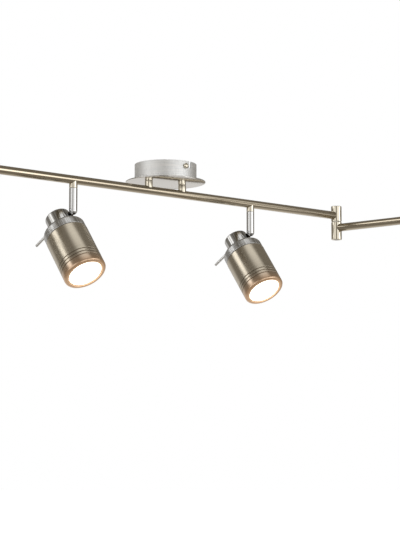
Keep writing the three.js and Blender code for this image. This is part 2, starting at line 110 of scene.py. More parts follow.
class Nodes:
    """A short way to add and join shader nodes in one tree."""

    def __init__(self, tree, fresh=True):
        self.tree = tree
        if fresh:
            tree.nodes.clear()

    def add(self, kind, **settings):
        node = self.tree.nodes.new(kind)
        for name, value in settings.items():
            setattr(node, name, value)
        return node

    def set(self, socket, value):
        if isinstance(value, bpy.types.NodeSocket):
            self.tree.links.new(value, socket)
        elif isinstance(value, tuple) and len(value) == 3 and socket.type == "RGBA":
            socket.default_value = (*value, 1)
        else:
            socket.default_value = value

    def math(self, operation, *values):
        node = self.add("ShaderNodeMath", operation=operation)
        for socket, value in zip(node.inputs, values):
            self.set(socket, value)
        return node.outputs[0]

    def ramp(self, value, low, high, to_low=0.0, to_high=1.0, smooth=True):
        node = self.add("ShaderNodeMapRange", interpolation_type="SMOOTHSTEP" if smooth else "LINEAR")
        for name, v in (("Value", value), ("From Min", low), ("From Max", high),
                        ("To Min", to_low), ("To Max", to_high)):
            self.set(node.inputs[name], v)
        return node.outputs[0]

    def mix_color(self, factor, a, b):
        node = self.add("ShaderNodeMix", data_type="RGBA")
        self.set(node.inputs[0], factor)
        self.set(node.inputs[6], a)
        self.set(node.inputs[7], b)
        return node.outputs[2]


def add_world():
    """A dim room with bright areas; where the camera looks past the object it sees plain white."""
    world = bpy.data.worlds.new("studio")
    world.use_nodes = True
    bpy.context.scene.world = world
    n = Nodes(world.node_tree)
    direction = n.add("ShaderNodeTexCoord").outputs["Generated"]
    parts = n.add("ShaderNodeSeparateXYZ")
    n.set(parts.inputs[0], direction)
    x, y, z = parts.outputs
    azimuth = n.math("DEGREES", n.math("ARCTAN2", y, x))
    elevation = n.math("DEGREES", n.math("ARCSINE", z))
    light = 0.0
    for middle, height, half_width, half_height, soft, strength in BRIGHT_AREAS:
        turn = n.math("ABSOLUTE", n.math("WRAP", n.math("SUBTRACT", azimuth, middle), 180, -180))
        rise = n.math("ABSOLUTE", n.math("SUBTRACT", elevation, height))
        across = n.ramp(turn, half_width - soft, half_width + soft, 1, 0)
        up = n.ramp(rise, half_height - soft, half_height + soft, 1, 0)
        light = n.math("MULTIPLY_ADD", n.math("MULTIPLY", across, up), strength, light)
    room = n.add("ShaderNodeBackground")
    n.set(room.inputs["Color"], n.mix_color(n.ramp(elevation, -12, 4), ROOM_BELOW, ROOM_ABOVE))
    boxes = n.add("ShaderNodeBackground")
    n.set(boxes.inputs["Strength"], light)
    studio = n.add("ShaderNodeAddShader")
    n.set(studio.inputs[0], room.outputs[0])
    n.set(studio.inputs[1], boxes.outputs[0])
    backdrop = n.add("ShaderNodeBackground")
    n.set(backdrop.inputs["Color"], BACKDROP)
    choose = n.add("ShaderNodeMixShader")
    n.set(choose.inputs[0], n.add("ShaderNodeLightPath").outputs["Is Camera Ray"])
    n.set(choose.inputs[1], studio.outputs[0])
    n.set(choose.inputs[2], backdrop.outputs[0])
    n.set(n.add("ShaderNodeOutputWorld").inputs[0], choose.outputs[0])


def add_lights():
    """One large soft lamp overhead keeps the floor pale and its shadow soft."""
    data = bpy.data.lights.new("overhead", "AREA")
    data.shape = "DISK"
    data.size = OVERHEAD_SIZE
    data.energy = OVERHEAD_WATTS
    lamp = bpy.data.objects.new("overhead", data)
    lamp.location = OVERHEAD_PLACE
    lamp.rotation_euler = Vector(OVERHEAD_AIM).to_track_quat("-Z", "Y").to_euler()
    lamp.visible_camera = False
    lamp.visible_glossy = False
    bpy.context.scene.collection.objects.link(lamp)


def add_floor():
    bm = bmesh.new()
    bmesh.ops.create_circle(bm, cap_ends=True, radius=FLOOR_RADIUS, segments=64)
    mesh = bpy.data.meshes.new("floor")
    bm.to_mesh(mesh)
    bm.free()
    material = bpy.data.materials.new("floor_paint")
    material.use_nodes = True
    n = Nodes(material.node_tree)
    shader = n.add("ShaderNodeBsdfPrincipled")
    n.set(shader.inputs["Base Color"], (0.93, 0.93, 0.92))
    n.set(shader.inputs["Roughness"], 0.9)
    n.set(shader.inputs["Specular IOR Level"], 0.1)
    n.set(shader.inputs["Emission Color"], (1.0, 1.0, 1.0))
    n.set(shader.inputs["Emission Strength"], 0.8)
    n.set(n.add("ShaderNodeOutputMaterial").inputs[0], shader.outputs[0])
    mesh.materials.append(material)
    floor = bpy.data.objects.new("floor", mesh)
    floor.location = (0, 0, FLOOR_Z)
    floor.visible_glossy = False
    bpy.context.scene.collection.objects.link(floor)


# ---------------------------------------------------------------- spotlight sizes

# A spotlight's pieces are drawn from its pivot. Distances along the lamp axis run from its rear face.
HEAD_SIDE = 11.0              # pivot to lamp axis, along the pivot's axis
HEAD_BACK = 23.0              # pivot to lamp axis, square to both axes
HEAD_UP = 8.0                 # pivot to the rear face, along the lamp axis
CAP_RADIUS = 18.5
CAP_WALL = 2.0
CAP_STEP = 25.0
RING_RADIUS = 31.2
RING_FRONT = 39.2
SHADE_RADIUS = 31.5
SHADE_REAR = 39.5
SHADE_FRONT = 111.5
SHADE_WALL = 1.5
SHADE_MOUTH = 25.3
GROOVES = (13.0, 18.0, 23.0)  # behind the shade's front edge
GROOVE_DEPTH = 0.7
LAMP_REAR = 57.3
LAMP_FACE = 110.3
LAMP_RADIUS = 24.9
LAMP_BASE = 13.3              # radius where the reflector begins to flare
PIN_X = 5.0
HOLDER_RADIUS = 13.5
LEVER_TURN = 100.0
LEVER_DEPTH = 10.0
LEVER_TIP = 54.0

# ---------------------------------------------------------------- materials

ROUND_GRAIN = (22.0, 22.0, 900.0)       # grain that runs round the piece's Z axis
LONG_GRAIN = (18.0, 1400.0, 1400.0)     # grain that runs along the piece's X axis
NO_GRAIN = (300.0, 300.0, 300.0)

PAINTED_LAMPLIGHT_BRASS = (0.47, 0.32, 0.22)        # the shade's brass near its mouth, with the lamp's warm light painted on as amber
# painted shade inside the shade's grooves
PAINTED_GROOVE_SHADE = (0.14, 0.10, 0.065)
# painted glow: the lamp's light drawn as emission on the shade's lip and mouth
PAINTED_LIP_GLOW = (1.0, 0.58, 0.29)
TINT_DEPTH = 22.0                       # how far behind the front the painted amber lamplight begins
SPILL_DEPTH = 18.0                      # and a faint painted warm glow
LIP_DEPTH = 4.0                         # and the painted glow on the lip
RING_EXTRA_ROUGHNESS = 0.20             # the rear cap's ring against its polished back
# painted reflections: dark streaks on the rear cap's chrome
PAINTED_REFLECTION_GREY = (0.22, 0.21, 0.19)
STREAK_SCALE = 7.0                      # streaks per radian round the rear cap, about
STREAK_ON_BACK = 0.80                   # how strongly the painted reflection streaks darken the cap's back
STREAK_ON_RING = 0.50                   # and its ring
LAMP_WHITE = (1.0, 0.95, 0.86)
LAMP_RIM = (1.0, 0.74, 0.38)


def surface(name, color, roughness, metallic=1.0, grain=NO_GRAIN, streak=0.05, uneven=0.03,
            relief=0.0, stain=0.0, stain_color=(0.05, 0.04, 0.03), **sockets):
    """A metal or plastic whose colour, gloss and relief vary with a stretched grain.

    streak is how much the grain darkens the colour, uneven how much it changes the roughness,
    relief the depth of the brushing, and stain how strongly broad patches are toned.
    """
    material = bpy.data.materials.new(name)
    material.use_nodes = True
    n = Nodes(material.node_tree)
    place = n.add("ShaderNodeTexCoord").outputs["Object"]
    stretch = n.add("ShaderNodeMapping")
    n.set(stretch.inputs["Vector"], place)
    stretch.inputs["Scale"].default_value = grain
    fine = n.add("ShaderNodeTexNoise")
    n.set(fine.inputs["Vector"], stretch.outputs[0])
    n.set(fine.inputs["Scale"], 1.0)
    n.set(fine.inputs["Detail"], 2.0)
    n.set(fine.inputs["Roughness"], 0.6)
    broad = n.add("ShaderNodeTexNoise")
    n.set(broad.inputs["Vector"], place)
    n.set(broad.inputs["Scale"], 38.0)
    n.set(broad.inputs["Detail"], 3.0)

    shader = n.add("ShaderNodeBsdfPrincipled")
    dark = tuple(c * (1 - streak) for c in color)
    light = tuple(min(1.0, c * (1 + streak)) for c in color)
    grained = n.mix_color(n.ramp(fine.outputs[0], 0.3, 0.7), dark, light)
    toned = n.mix_color(n.ramp(broad.outputs[0], 0.45, 0.8, 0.0, stain), grained, stain_color)
    n.set(shader.inputs["Base Color"], toned)
    rough = n.ramp(fine.outputs[0], 0.25, 0.75, roughness - uneven, roughness + uneven, smooth=False)
    n.set(shader.inputs["Roughness"], rough)
    n.set(shader.inputs["Metallic"], metallic)
    for socket, value in sockets.items():
        n.set(shader.inputs[socket.replace("_", " ")], value)
    if relief:
        bump = n.add("ShaderNodeBump")
        n.set(bump.inputs["Height"], fine.outputs[0])
        n.set(bump.inputs["Strength"], relief)
        n.set(bump.inputs["Distance"], 0.0002)
        n.set(shader.inputs["Normal"], bump.outputs[0])
    n.set(n.add("ShaderNodeOutputMaterial").inputs[0], shader.outputs[0])
    return material


def head_place(n):
    """Radius and angle round the lamp's axis, and distance from the rear face; millimetres."""
    parts = n.add("ShaderNodeSeparateXYZ")
    n.set(parts.inputs[0], n.add("ShaderNodeTexCoord").outputs["Object"])
    x, y, z = (n.math("DIVIDE", part, MM) for part in parts.outputs)
    side = n.math("ADD", x, HEAD_SIDE)
    back = n.math("SUBTRACT", y, HEAD_BACK)
    squares = n.math("ADD", n.math("POWER", side, 2), n.math("POWER", back, 2))
    return n.math("SQRT", squares), n.math("ARCTAN2", back, side), n.math("SUBTRACT", HEAD_UP, z)


def reopen(material):
    """The nodes of a finished material, its shader, and the colour that feeds it."""
    n = Nodes(material.node_tree, fresh=False)
    shader = next(node for node in n.tree.nodes if node.type == "BSDF_PRINCIPLED")
    return n, shader, shader.inputs["Base Color"].links[0].from_socket


def with_painted_lamplight(material):
    """Paints shade in the grooves, lamplight as amber near the mouth, and a glow on the lip."""
    n, shader, metal = reopen(material)
    radius, _, distance = head_place(n)
    # Painted shade: the colour is darkened inside the grooves.
    sunk = n.ramp(radius, SHADE_RADIUS - GROOVE_DEPTH, SHADE_RADIUS - 0.1, 0.85, 0)
    in_groove = n.math("MULTIPLY", sunk, n.ramp(distance, SHADE_FRONT - 8, SHADE_FRONT - 6, 1, 0))
    grooved = n.mix_color(in_groove, metal, PAINTED_GROOVE_SHADE)
    # Painted light: the colour turns amber towards the mouth, as if lit by the lamp.
    near = n.ramp(distance, SHADE_FRONT - TINT_DEPTH, SHADE_FRONT - 1, 0, 0.75)
    n.set(shader.inputs["Base Color"], n.mix_color(near, grooved, PAINTED_LAMPLIGHT_BRASS))
    # Painted light: emission makes the lip and the front of the shade glow amber as if lit by the lamp.
    front = n.ramp(distance, SHADE_FRONT - LIP_DEPTH, SHADE_FRONT - 1)
    lip = n.math("MULTIPLY", n.ramp(radius, SHADE_MOUTH, SHADE_RADIUS, 0.17, 0.08), front)
    edge = n.math("MULTIPLY", n.ramp(radius, SHADE_MOUTH, SHADE_MOUTH + 1.4, 0.22, 0), front)
    spill = n.ramp(distance, SHADE_FRONT - SPILL_DEPTH, SHADE_FRONT, 0, 0.07)
    n.set(shader.inputs["Emission Color"], PAINTED_LIP_GLOW)
    n.set(shader.inputs["Emission Strength"], n.math("ADD", n.math("ADD", lip, edge), spill))
    return material


def chrome_with_painted_streaks(material):
    """Paints reflection streaks along the lamp's axis on the rear cap's chrome and makes its wide ring
    satin.
    """
    n, shader, metal = reopen(material)
    radius, angle, _ = head_place(n)
    polished = shader.inputs["Roughness"].links[0].from_socket
    on_ring = n.ramp(radius, CAP_RADIUS + 2, CAP_RADIUS + 7)
    n.set(shader.inputs["Roughness"],
          n.math("MULTIPLY_ADD", on_ring, RING_EXTRA_ROUGHNESS, polished))
    # Painted reflection: grey streaks along the axis are mixed into the colour.
    lines = n.add("ShaderNodeTexNoise", noise_dimensions="1D")
    n.set(lines.inputs["W"], angle)
    n.set(lines.inputs["Scale"], STREAK_SCALE)
    n.set(lines.inputs["Detail"], 2.0)
    depth = n.ramp(on_ring, 0, 1, STREAK_ON_BACK, STREAK_ON_RING)
    dark = n.math("MULTIPLY", n.ramp(lines.outputs[0], 0.42, 0.56, 1, 0), depth)
    n.set(shader.inputs["Base Color"], n.mix_color(dark, metal, PAINTED_REFLECTION_GREY))
    return material


def lamp_glass():
    """Lit lamp glass: white at the middle and amber where it meets the rim."""
    material = bpy.data.materials.new("lamp_glass")
    material.use_nodes = True
    n = Nodes(material.node_tree)
    radius, _, _ = head_place(n)
    rim = n.ramp(radius, LAMP_RADIUS - 2.0, LAMP_RADIUS - 0.2)
    frost = n.add("ShaderNodeTexNoise")
    n.set(frost.inputs["Scale"], 420.0)
    shader = n.add("ShaderNodeBsdfPrincipled")
    n.set(shader.inputs["Base Color"],
          n.mix_color(frost.outputs[0], (0.90, 0.88, 0.83), (0.98, 0.97, 0.94)))
    n.set(shader.inputs["Roughness"], 0.22)
    n.set(shader.inputs["Emission Color"], n.mix_color(rim, LAMP_WHITE, LAMP_RIM))
    n.set(shader.inputs["Emission Strength"], n.ramp(rim, 0, 1, 3.2, 0.55))
    n.set(n.add("ShaderNodeOutputMaterial").inputs[0], shader.outputs[0])
    return material


MATERIALS = {
    "satin_nickel": surface("satin_nickel", (0.93, 0.955, 0.97), 0.58, grain=ROUND_GRAIN,
                            streak=0.07, uneven=0.05, relief=0.10, Anisotropic=0.3,
                            Anisotropic_Rotation=0.25),
    "plate_nickel": surface("plate_nickel", (0.66, 0.65, 0.63), 0.13, grain=LONG_GRAIN,
                            streak=0.05, uneven=0.04, relief=0.06),
    "polished_nickel": surface("polished_nickel", (0.74, 0.69, 0.58), 0.09, streak=0.02,
                               uneven=0.02, stain=0.06, stain_color=(0.35, 0.29, 0.2)),
    "chrome": surface("chrome", (0.74, 0.75, 0.76), 0.08, streak=0.02, uneven=0.025, stain=0.05,
                      stain_color=(0.45, 0.45, 0.47)),
    "cap_chrome": chrome_with_painted_streaks(surface("cap_chrome", (0.66, 0.67, 0.675), 0.12, streak=0.04,
                                        uneven=0.03)),
    "satin_chrome": surface("satin_chrome", (0.86, 0.87, 0.87), 0.28, streak=0.04, uneven=0.04),
    "brushed_brass": with_painted_lamplight(surface(
        "brushed_brass", (0.56, 0.51, 0.42), 0.25, grain=ROUND_GRAIN, streak=0.05, uneven=0.02,
        relief=0.02, stain=0.08, stain_color=(0.30, 0.24, 0.16), Anisotropic=0.5,
        Anisotropic_Rotation=0.25)),
    "tube_brass": surface("tube_brass", (0.50, 0.44, 0.34), 0.13, grain=LONG_GRAIN,
                          streak=0.07, uneven=0.02, relief=0.02, stain=0.08,
                          stain_color=(0.30, 0.24, 0.16)),
    "dark_bronze": surface("dark_bronze", (0.10, 0.08, 0.062), 0.3, streak=0.12, uneven=0.06,
                           relief=0.12, stain=0.3, stain_color=(0.18, 0.13, 0.08)),
    "zinc_steel": surface("zinc_steel", (0.56, 0.57, 0.58), 0.36, streak=0.08, uneven=0.08,
                          relief=0.18, stain=0.25, stain_color=(0.42, 0.42, 0.38)),
    "yellow_brass": surface("yellow_brass", (0.78, 0.58, 0.26), 0.28, streak=0.08, uneven=0.05),
    "ceramic": surface("ceramic", (0.84, 0.81, 0.74), 0.3, metallic=0.0, streak=0.03, uneven=0.05,
                       stain=0.10, stain_color=(0.62, 0.56, 0.46), Coat_Weight=0.4),
    "terminal_plastic": surface("terminal_plastic", (0.82, 0.82, 0.79), 0.5, metallic=0.0,
                                streak=0.03, uneven=0.05, relief=0.08),
    "wire_sheath": surface("wire_sheath", (0.70, 0.68, 0.62), 0.5, metallic=0.0, streak=0.04,
                           uneven=0.06),
    "nylon": surface("nylon", (0.78, 0.76, 0.70), 0.42, metallic=0.0, streak=0.03, uneven=0.05),
    "reflector": surface("reflector", (0.80, 0.79, 0.77), 0.2, streak=0.04, uneven=0.05),
    "lamp_glass": lamp_glass(),
}

# ---------------------------------------------------------------- mesh tools, in millimetres


def rounded(points, steps=5):
    """A profile from (radius, z, fillet) corners: each fillet becomes an arc."""
    outline = []
    for i, (radius, z, fillet) in enumerate(points):
        here = Vector((radius, z))
        if not fillet:
            outline.append((radius, z))
            continue
        before = (Vector(points[i - 1][:2]) - here).normalized()
        after = (Vector(points[(i + 1) % len(points)][:2]) - here).normalized()
        half = before.angle(after) / 2
        centre = here + (before + after).normalized() * (fillet / math.sin(half))
        start = here + before * (fillet / math.tan(half)) - centre
        end = here + after * (fillet / math.tan(half)) - centre
        sweep = math.atan2(start.x * end.y - start.y * end.x, start.dot(end))
        for k in range(steps + 1):
            turn = sweep * k / steps
            c, s = math.cos(turn), math.sin(turn)
            outline.append((centre.x + start.x * c - start.y * s,
                            centre.y + start.x * s + start.y * c))
    return outline


def lathe(profile, sides=SIDES, closed=False):
    """A solid of revolution about Z. A closed profile is a loop that stays off the axis."""
    bm = bmesh.new()
    angles = [2 * math.pi * i / sides for i in range(sides)]
    rings = []
    for radius, z in profile:
        if radius < 1e-6:
            rings.append([bm.verts.new((0, 0, z))])
        else:
            rings.append([bm.verts.new((radius * math.cos(a), radius * math.sin(a), z))
                          for a in angles])
    pairs = list(zip(rings, rings[1:])) + ([(rings[-1], rings[0])] if closed else [])
    for low, high in pairs:
        for i in range(sides):
            j = (i + 1) % sides
            corners = [low[i % len(low)], low[j % len(low)], high[j % len(high)], high[i % len(high)]]
            corners = list(dict.fromkeys(corners))
            if len(corners) > 2:
                bm.faces.new(corners)
    bmesh.ops.recalc_face_normals(bm, faces=bm.faces)
    return bm


def turned(points, sides=SIDES, closed=False, steps=5):
    return lathe(rounded(points, steps), sides, closed)


def rod(radius, low, high, edge=0.0, sides=SMALL_SIDES):
    """A cylinder along Z with rounded ends."""
    return turned([(0, low, 0), (radius, low, edge), (radius, high, edge), (0, high, 0)], sides)


def block(low, high, edge=0.0):
    """A box from its lowest to its highest corner, with rounded edges."""
    bm = bmesh.new()
    bmesh.ops.create_cube(bm, size=1)
    size = Vector(high) - Vector(low)
    bmesh.ops.scale(bm, vec=size, verts=bm.verts)
    bmesh.ops.translate(bm, vec=(Vector(low) + Vector(high)) / 2, verts=bm.verts)
    if edge:
        bmesh.ops.bevel(bm, geom=list(bm.edges), offset=edge, segments=3, profile=0.5,
                        affect="EDGES")
    return bm


def slab(outline, low, high, edge=0.0):
    """An outline of (x, y) points extruded along Z, with its rim edges rounded."""
    bm = bmesh.new()
    base = bm.faces.new([bm.verts.new((x, y, low)) for x, y in outline])
    lifted = bmesh.ops.extrude_face_region(bm, geom=[base])
    tops = [v for v in lifted["geom"] if isinstance(v, bmesh.types.BMVert)]
    bmesh.ops.translate(bm, vec=(0, 0, high - low), verts=tops)
    bmesh.ops.recalc_face_normals(bm, faces=bm.faces)
    if edge:
        rims = [e for e in bm.edges if abs(e.verts[0].co.z - e.verts[1].co.z) < 1e-6]
        bmesh.ops.bevel(bm, geom=rims, offset=edge, segments=2, profile=0.5, affect="EDGES")
    return bm


def stadium(length, width, steps=10):
    """The outline of a slot with round ends, long way along Y."""
    radius = width / 2
    straight = length / 2 - radius
    points = []
    for side in (1, -1):
        for k in range(steps + 1):
            angle = math.pi * k / steps + (0 if side > 0 else math.pi)
            points.append((radius * math.cos(angle), side * straight + radius * math.sin(angle)))
    return points


def regular(radius, count):
    """The corners of a regular polygon."""
    angles = [2 * math.pi * i / count for i in range(count)]
    return [(radius * math.cos(a), radius * math.sin(a)) for a in angles]


def smooth_path(points, steps=8):
    """Points along a Catmull-Rom curve through the given ones."""
    knots = [Vector(p) for p in points]
    knots = [2 * knots[0] - knots[1], *knots, 2 * knots[-1] - knots[-2]]
    path = []
    for a, b, c, d in zip(knots, knots[1:], knots[2:], knots[3:]):
        for k in range(steps):
            t = k / steps
            path.append(0.5 * ((2 * b) + (c - a) * t + (2 * a - 5 * b + 4 * c - d) * t * t
                               + (3 * b - a - 3 * c + d) * t ** 3))
    return [*path, knots[-2]]


def sweep(path, radius, sides=16):
    """A round tube along a path, closed at both ends."""
    bm = bmesh.new()
    normal = Vector((0, 0, 1)) if abs((path[1] - path[0]).normalized().z) < 0.9 else Vector((0, 1, 0))
    rings = []
    for i, point in enumerate(path):
        ahead = (path[min(i + 1, len(path) - 1)] - path[max(i - 1, 0)]).normalized()
        normal = (normal - ahead * normal.dot(ahead)).normalized()
        side = ahead.cross(normal)
        ring = []
        for k in range(sides):
            angle = 2 * math.pi * k / sides
            outward = math.cos(angle) * normal + math.sin(angle) * side
            ring.append(bm.verts.new(point + radius * outward))
        rings.append(ring)
    for low, high in zip(rings, rings[1:]):
        for i in range(sides):
            j = (i + 1) % sides
            bm.faces.new((low[i], low[j], high[j], high[i]))
    bm.faces.new(rings[0])
    bm.faces.new(rings[-1])
    bmesh.ops.recalc_face_normals(bm, faces=bm.faces)
    return bm


def turn(bm, axis, degrees):
    bmesh.ops.rotate(bm, cent=(0, 0, 0), matrix=Matrix.Rotation(math.radians(degrees), 3, axis),
                     verts=bm.verts)
    return bm


def shift(bm, x=0.0, y=0.0, z=0.0):
    bmesh.ops.translate(bm, vec=(x, y, z), verts=bm.verts)
    return bm


def along_x(bm):
    """Turns a piece drawn along Z so that it runs along X."""
    return turn(bm, "Y", 90)


def along_y(bm):
    """Turns a piece drawn along Z so that it runs along Y."""
    return turn(bm, "X", -90)


def _temporary(bm):
    mesh = bpy.data.meshes.new("temporary")
    bm.to_mesh(mesh)
    bm.free()
    obj = bpy.data.objects.new("temporary", mesh)
    bpy.context.scene.collection.objects.link(obj)
    return obj


def combine(operation, base, *tools):
    """base with each tool cut away ("DIFFERENCE") or joined on ("UNION")."""
    holder = _temporary(base)
    others = [_temporary(tool) for tool in tools]
    for other in others:
        modifier = holder.modifiers.new("combine", "BOOLEAN")
        modifier.object = other
        modifier.operation = operation
        modifier.solver = "MANIFOLD"
    result = bmesh.new()
    result.from_object(holder, bpy.context.evaluated_depsgraph_get())
    for obj in (holder, *others):
        mesh = obj.data
        bpy.data.objects.remove(obj)
        bpy.data.meshes.remove(mesh)
    return result


def cut(base, *tools):
    return combine("DIFFERENCE", base, *tools)


def join(base, *tools):
    return combine("UNION", base, *tools)


# ---------------------------------------------------------------- pieces


def piece(name, bm, body, slot, place=Matrix.Identity(4), material=None):
    """Makes an object of a mesh in millimetres, places it and lets it ride on its body."""
    for face in bm.faces:
        face.smooth = True
    for edge in bm.edges:
        if len(edge.link_faces) == 2 and edge.calc_face_angle(0) > SHARP:
            edge.smooth = False
    mesh = bpy.data.meshes.new(name)
    bm.to_mesh(mesh)
    bm.free()
    mesh.transform(Matrix.Scale(MM, 4))
    mesh.materials.append(MATERIALS[material or slot])
    obj = bpy.data.objects.new(name, mesh)
    bpy.context.scene.collection.objects.link(obj)
    obj.matrix_world = place
    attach(obj, body)
    return obj


def stand_for(node, bm, place=Matrix.Identity(4), material=None):
    """A finished piece in place of a CAD node, on its body, in its slot's material unless another is
    given.
    """
    obj = piece(f"{node}_finished", bm, BODY_OF[node], SLOT_OF[node], place, material)
    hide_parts(node)
    return obj


def at(x, y, z, azimuth=0.0):
    """A place in metres, turned about Z by an angle in degrees."""
    return Matrix.Translation((x, y, z)) @ Matrix.Rotation(math.radians(azimuth), 4, "Z")


# ---------------------------------------------------------------- canopy

GAP = 0.3                     # between pieces that screw or slide together
SNUG = 0.12                   # between a tube and the saddle or socket that holds it

PAN_RADIUS = 46.5
PAN_HEIGHT = 25.6
SHEET = 1.2
PLATE_RADIUS = 60.0
PLATE_TOP = -PAN_HEIGHT - GAP
PLATE_BOTTOM = -27.6
POST_X = 32.5
POST_RADIUS = 6.0
STUD_RADIUS = 3.9
STUD_HOLE = 4.3
STUD_TOP = -17.0
SIDE_SCREW_Z = -7.8
BAYONET_WIDTH = 4.2
BAYONET_TURN = 11.4
EAR_Y = 43.9
EAR_DEPTH = 14.0
STRAP_HALF = 9.0
STRAP_THICK = 1.5
STRAP_BEND = 2.4              # outer radius of the strap's bends
STRAP_HOLE = 1.9              # for the side screws and the earth screw
SLOT_Y = 26.0                 # middle of the slot for each ceiling screw
SLOT_LENGTH = 14.0
SLOT_WIDTH = 5.0
EARTH_Y = -12.0
NUT_BOTTOM = -PAN_HEIGHT + SHEET + GAP
NUT_HEIGHT = 4.0


def stud_holes():
    return [shift(rod(STUD_HOLE, PLATE_BOTTOM - 2, STUD_TOP), x=x) for x in (-POST_X, POST_X)]


def canopy_pan():
    pan = turned([
        (0, -PAN_HEIGHT, 0),
        (PAN_RADIUS, -PAN_HEIGHT, 1.1),
        (PAN_RADIUS, 0, 0.35),
        (PAN_RADIUS - SHEET, 0, 0.35),
        (PAN_RADIUS - SHEET, -PAN_HEIGHT + SHEET, 0.6),
        (0, -PAN_HEIGHT + SHEET, 0),
    ], sides=2 * SIDES)
    half = BAYONET_WIDTH / 2
    reach = (PAN_RADIUS - 4, PAN_RADIUS + 3)
    leg = PAN_RADIUS * math.radians(BAYONET_TURN) / 2
    slots = []
    for azimuth in (-90, 90):
        locked = shift(along_x(rod(half, *reach)), z=SIDE_SCREW_Z)
        across = block((reach[0], -leg, SIDE_SCREW_Z - half), (reach[1], leg, SIDE_SCREW_Z + half))
        entry = block((reach[0], -half, SIDE_SCREW_Z - half), (reach[1], half, 2))
        slots += [
            turn(locked, "Z", azimuth),
            turn(across, "Z", azimuth + BAYONET_TURN / 2),
            turn(entry, "Z", azimuth + BAYONET_TURN),
        ]
    return cut(pan, *slots, *stud_holes())


def canopy_plate():
    plate = turned([
        (0, PLATE_BOTTOM, 0),
        (PLATE_RADIUS, PLATE_BOTTOM, 0.6),
        (PLATE_RADIUS, PLATE_TOP, 0.6),
        (0, PLATE_TOP, 0),
    ], sides=2 * SIDES)
    return cut(plate, *stud_holes())


def side_screw():
    """A domed screw along +X, its head outside the pan's wall."""
    seat = PAN_RADIUS + GAP
    screw = turned([
        (0, 42, 0),
        (1.6, 42, 0.3),
        (1.6, seat, 0),
        (4, seat, 0.25),
        (4, seat + 1.7, 0.5),
        (2.9, seat + 3.3, 1.2),
        (0, seat + 4.0, 0),
    ], sides=SMALL_SIDES, steps=4)
    slot = block((-0.45, -3, seat + 3.1), (0.45, 3, seat + 6))
    return shift(along_x(cut(screw, slot)), z=SIDE_SCREW_Z)


def ceiling_bracket():
    """A strip of sheet steel, bent down at both ends, with slots for the ceiling screws."""
    inside = EAR_Y - STRAP_THICK
    inner_bend = STRAP_BEND - STRAP_THICK
    side = rounded([
        (-EAR_Y, -EAR_DEPTH, 0),
        (-EAR_Y, 0, STRAP_BEND),
        (EAR_Y, 0, STRAP_BEND),
        (EAR_Y, -EAR_DEPTH, 0),
        (inside, -EAR_DEPTH, 0),
        (inside, -STRAP_THICK, inner_bend),
        (-inside, -STRAP_THICK, inner_bend),
        (-inside, -EAR_DEPTH, 0),
    ])
    strip = slab(side, -STRAP_HALF, STRAP_HALF, edge=0.25)
    turn(strip, "X", 90)
    turn(strip, "Z", 90)
    tools = []
    for end in (-1, 1):
        tools.append(shift(slab(stadium(SLOT_LENGTH, SLOT_WIDTH), -4, 3), y=end * SLOT_Y))
        tools.append(shift(along_y(rod(STRAP_HOLE, -4, 4)), y=end * EAR_Y, z=SIDE_SCREW_Z))
    tools.append(shift(rod(STRAP_HOLE, -4, 3), y=EARTH_Y))
    for x in (-5.6, 5.6):
        tools.append(shift(rod(1.2, -4, 3, sides=24), x=x))
    return cut(strip, *tools)


def post_nut():
    """A hexagon nut, its corners chamfered by a turned outline."""
    top = NUT_BOTTOM + NUT_HEIGHT
    nut = slab(regular(7.4, 6), NUT_BOTTOM, top)
    crown = turned([
        (0, NUT_BOTTOM, 0),
        (6.6, NUT_BOTTOM, 0),
        (7.6, NUT_BOTTOM + 0.7, 0),
        (7.6, top - 0.7, 0),
        (6.6, top, 0),
        (0, top, 0),
    ], sides=SMALL_SIDES)
    chamfered = combine("INTERSECT", nut, crown)
    return cut(chamfered, rod(STUD_HOLE, NUT_BOTTOM - 1, top + 1))


POLES = (-7.0, 0.0, 7.0)      # of the terminal block, along X
POLE_SCREW_Y = 4.5
BLOCK_TOP = -12.5


def terminal_block():
    """Three poles side by side: a moulded body with a funnel for each wire and a well for each screw."""
    body = block((-12, -8.5, NUT_BOTTOM), (12, 8.5, BLOCK_TOP - 3), edge=0.6)
    turrets = []
    tools = []
    for x in POLES:
        tools.append(shift(along_y(rod(2.0, -12, 12, sides=24)), x=x, z=-20))
        for side in (-1, 1):
            y = side * POLE_SCREW_Y
            turrets.append(shift(rod(3.2, BLOCK_TOP - 5, BLOCK_TOP, edge=0.5, sides=32), x=x, y=y))
            tools.append(shift(rod(1.9, -20, BLOCK_TOP + 1, sides=24), x=x, y=y))
    for x in (-3.5, 3.5):
        tools.append(block((x - 0.5, -9, BLOCK_TOP - 5.5), (x + 0.5, 9, BLOCK_TOP - 2)))
    return cut(join(body, *turrets), *tools)


def slotted_plug(radius, low, high):
    """A small headless screw with a slot in its top."""
    plug = rod(radius, low, high, edge=0.25, sides=24)
    return cut(plug, block((-radius - 1, -0.3, high - 0.7), (radius + 1, 0.3, high + 1)))


def earth_screw():
    seat = -STRAP_THICK - 0.2
    screw = turned([
        (0, seat - 2.6, 0), (3.4, seat - 2.6, 1.4), (3.6, seat, 0.2), (1.7, seat, 0),
        (1.7, -0.5, 0.2), (0, -0.5, 0),
    ], sides=SMALL_SIDES)
    cross = [block((-2.2, -0.45, seat - 4), (2.2, 0.45, seat - 1.5)),
             block((-0.45, -2.2, seat - 4), (0.45, 2.2, seat - 1.5))]
    return shift(cut(screw, *cross), y=EARTH_Y)


